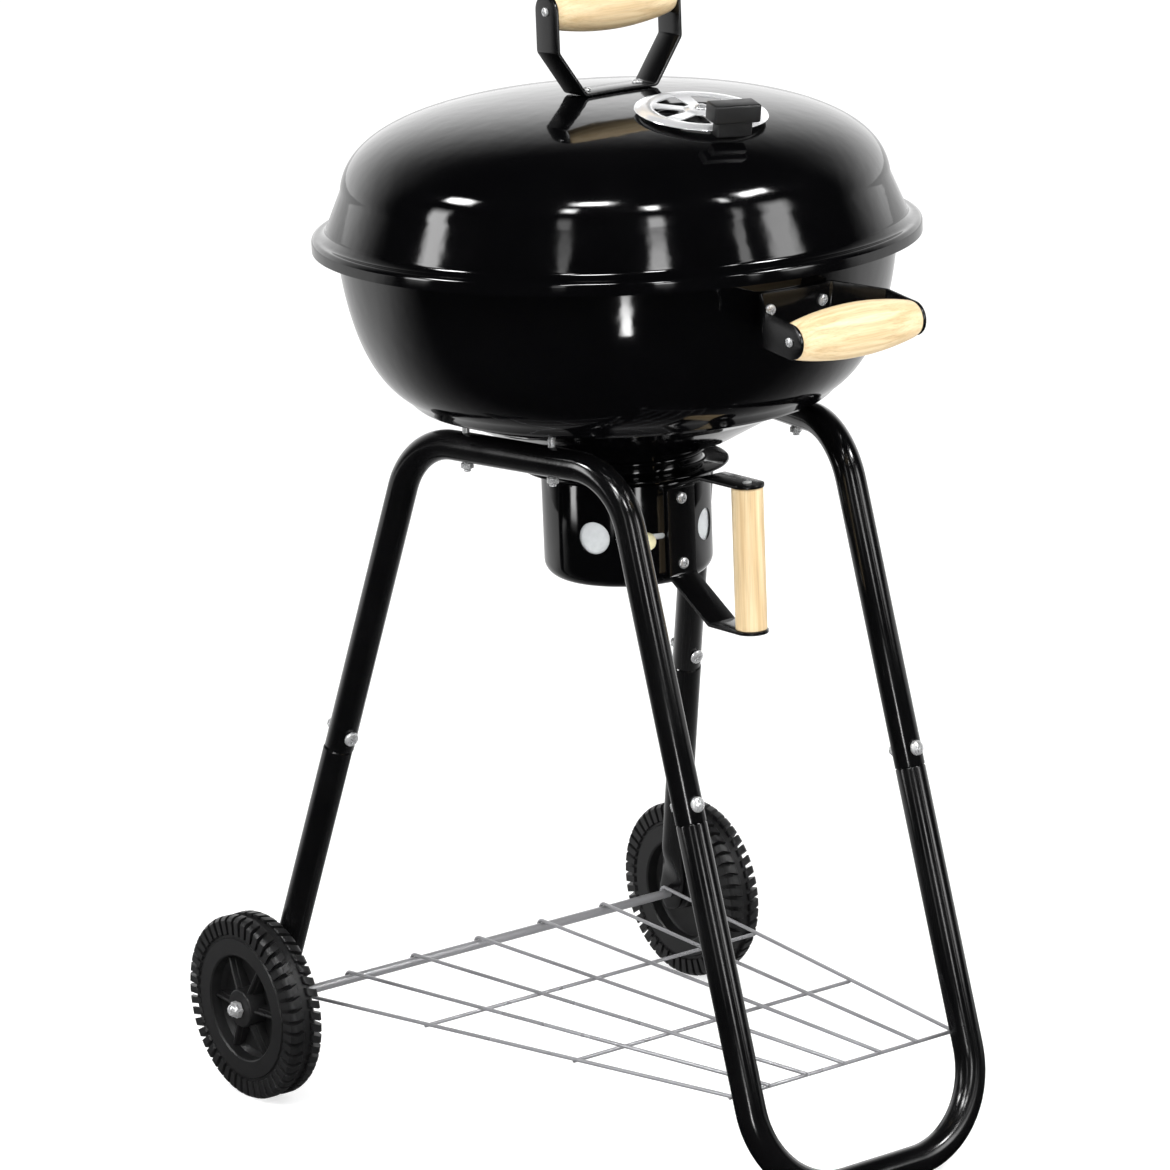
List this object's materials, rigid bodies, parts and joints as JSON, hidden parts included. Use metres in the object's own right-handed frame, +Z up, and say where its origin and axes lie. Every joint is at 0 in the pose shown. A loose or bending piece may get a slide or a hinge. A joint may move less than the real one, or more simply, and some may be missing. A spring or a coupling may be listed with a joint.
{
  "type": "kettle charcoal grill",
  "caption": "Round kettle charcoal grill on a bent tube stand with wheels, lid, ash catcher, wire shelf and wooden grips.",
  "frame": {"origin": "on the floor, under the axis of the round kettle, at the centre of the footprint", "axes": "+Z up along the kettle's axis, X along the wheel axle and the lid handle, -Y towards the front with the ash catcher's handle and the U-shaped front leg"},
  "size_m": [0.5336, 0.6356, 0.9565],
  "materials": {
    "black_enamel": "gloss black vitreous enamel on sheet steel",
    "black_paint": "gloss black powder coat",
    "black_plastic": "moulded black plastic, satin",
    "pale_wood": "pale turned wood, clear matt lacquer",
    "pale_knob": "pale turned wooden ball",
    "chrome": "bright chrome plate",
    "plated_wire": "nickel plated wire",
    "zinc_plate": "zinc plated steel",
    "galvanised_sheet": "galvanised sheet steel"
  },
  "bodies": {
    "stand": {"ash_collar": "black_enamel", "axle": "zinc_plate", "bowl": "black_enamel", "bowl_bolt_front_left": "zinc_plate", "bowl_bolt_front_right": "zinc_plate", "bowl_bolt_rear_left": "zinc_plate", "bowl_bolt_rear_right": "zinc_plate", "front_floor_tube": "black_paint", "front_handle_bolt_left": "zinc_plate", "front_handle_bolt_right": "zinc_plate", "front_handle_bracket": "black_paint", "front_handle_grip": "pale_wood", "front_handle_grip_screw_left": "zinc_plate", "front_handle_grip_screw_right": "zinc_plate", "front_joint_bolt_left": "zinc_plate", "front_joint_bolt_right": "zinc_plate", "grate_bracket_1": "plated_wire", "grate_bracket_2": "plated_wire", "grate_bracket_3": "plated_wire", "rear_handle_bolt_left": "zinc_plate", "rear_handle_bolt_right": "zinc_plate", "rear_handle_bracket": "black_paint", "rear_handle_grip": "pale_wood", "rear_handle_grip_screw_left": "zinc_plate", "rear_handle_grip_screw_right": "zinc_plate", "rear_joint_bolt_left": "zinc_plate", "rear_joint_bolt_right": "zinc_plate", "rear_leg_left": "black_paint", "rear_leg_right": "black_paint", "upper_tube_left": "black_paint", "upper_tube_right": "black_paint", "wire_shelf": "chrome"},
    "lid": {"lid": "black_enamel", "lid_damper_rivet": "zinc_plate", "lid_handle_bolt_left": "zinc_plate", "lid_handle_bolt_right": "zinc_plate", "lid_handle_bracket": "black_paint", "lid_handle_grip": "pale_wood", "lid_handle_grip_screw_left": "zinc_plate", "lid_handle_grip_screw_right": "zinc_plate"},
    "vent_damper": {"lid_damper": "chrome", "lid_damper_grip": "black_plastic"},
    "cooking_grate": {"cooking_grate": "plated_wire"},
    "charcoal_grate": {"charcoal_grate": "plated_wire"},
    "ash_catcher": {"ash_catcher": "black_enamel", "ash_handle_bolt_lower": "zinc_plate", "ash_handle_bolt_upper": "zinc_plate", "ash_handle_grip": "pale_wood", "ash_handle_grip_screw_bottom": "zinc_plate", "ash_handle_grip_screw_top": "zinc_plate", "ash_handle_strap": "black_paint"},
    "ash_damper": {"ash_damper": "galvanised_sheet", "ash_damper_knob": "pale_knob"},
    "wheel_left": {"wheel_left": "black_plastic", "axle_nut_left": "zinc_plate"},
    "wheel_right": {"wheel_right": "black_plastic", "axle_nut_right": "zinc_plate"}
  },
  "joints": [
    {"name": "lid_lift", "type": "slide", "parent": "stand", "child": "lid", "axis": [0, 0, 1], "range_m": [0, 0.3]},
    {"name": "vent_turn", "type": "hinge", "parent": "lid", "child": "vent_damper", "pos_m": [0, -0.116, 0.8564], "axis": [0, -0.1612, 0.9869], "range_deg": [0, 30]},
    {"name": "cooking_grate_lift", "type": "slide", "parent": "stand", "child": "cooking_grate", "axis": [0, 0, 1], "range_m": [0, 0.18]},
    {"name": "charcoal_grate_lift", "type": "slide", "parent": "stand", "child": "charcoal_grate", "axis": [0, 0, 1], "range_m": [0, 0.09]},
    {"name": "ash_catcher_drop", "type": "slide", "parent": "stand", "child": "ash_catcher", "axis": [0, 0, -1], "range_m": [0, 0.1]},
    {"name": "ash_damper_turn", "type": "hinge", "parent": "ash_catcher", "child": "ash_damper", "pos_m": [0, 0, 0.505], "axis": [0, 0, 1], "range_deg": [-17, 13]},
    {"name": "wheel_left_spin", "type": "hinge", "parent": "stand", "child": "wheel_left", "pos_m": [-0.2391, 0.2361, 0.08], "axis": [1, 0, 0], "continuous": true},
    {"name": "wheel_right_spin", "type": "hinge", "parent": "stand", "child": "wheel_right", "pos_m": [0.2391, 0.2361, 0.08], "axis": [1, 0, 0], "continuous": true}
  ],
  "couplings": [
    {"joint": "cooking_grate_lift", "follows": "lid_lift", "ratio": 0.6},
    {"joint": "charcoal_grate_lift", "follows": "lid_lift", "ratio": 0.3}
  ]
}
